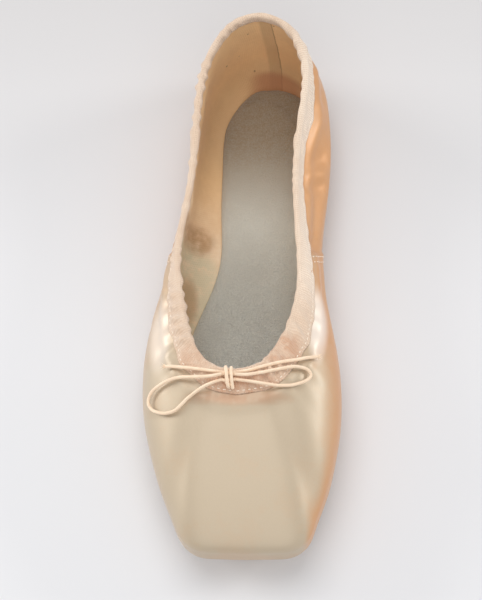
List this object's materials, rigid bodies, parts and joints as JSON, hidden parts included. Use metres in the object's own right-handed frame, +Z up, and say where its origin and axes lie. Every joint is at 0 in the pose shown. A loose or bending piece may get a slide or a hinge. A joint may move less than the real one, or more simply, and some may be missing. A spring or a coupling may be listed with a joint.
{
  "type": "pointe shoe",
  "caption": "Satin ballet pointe shoe with a hard flat-tipped toe box, soft quarter, bound collar with a drawstring bow, grey suede insole and thin leather sole, standing empty.",
  "frame": {"origin": "on the floor, under the middle of the shoe's length and width", "axes": "+Y from toe to heel, +X to the right of someone who looks from the toe towards the heel, +Z up from the floor"},
  "size_m": [0.0838, 0.241, 0.0539],
  "materials": {
    "satin": "peach satin, soft sheen",
    "binding cotton": "matt ribbed cotton tape",
    "sole leather": "buffed sole leather",
    "grey suede": "matt suede nap",
    "drawstring": "matt woven cord"
  },
  "bodies": {
    "root": {"upper": "satin", "binding": "binding cotton", "outsole": "sole leather", "sock": "grey suede", "knot": "drawstring", "loop_left": "drawstring", "loop_right": "drawstring", "end_left": "drawstring", "end_right": "drawstring"}
  },
  "joints": []
}
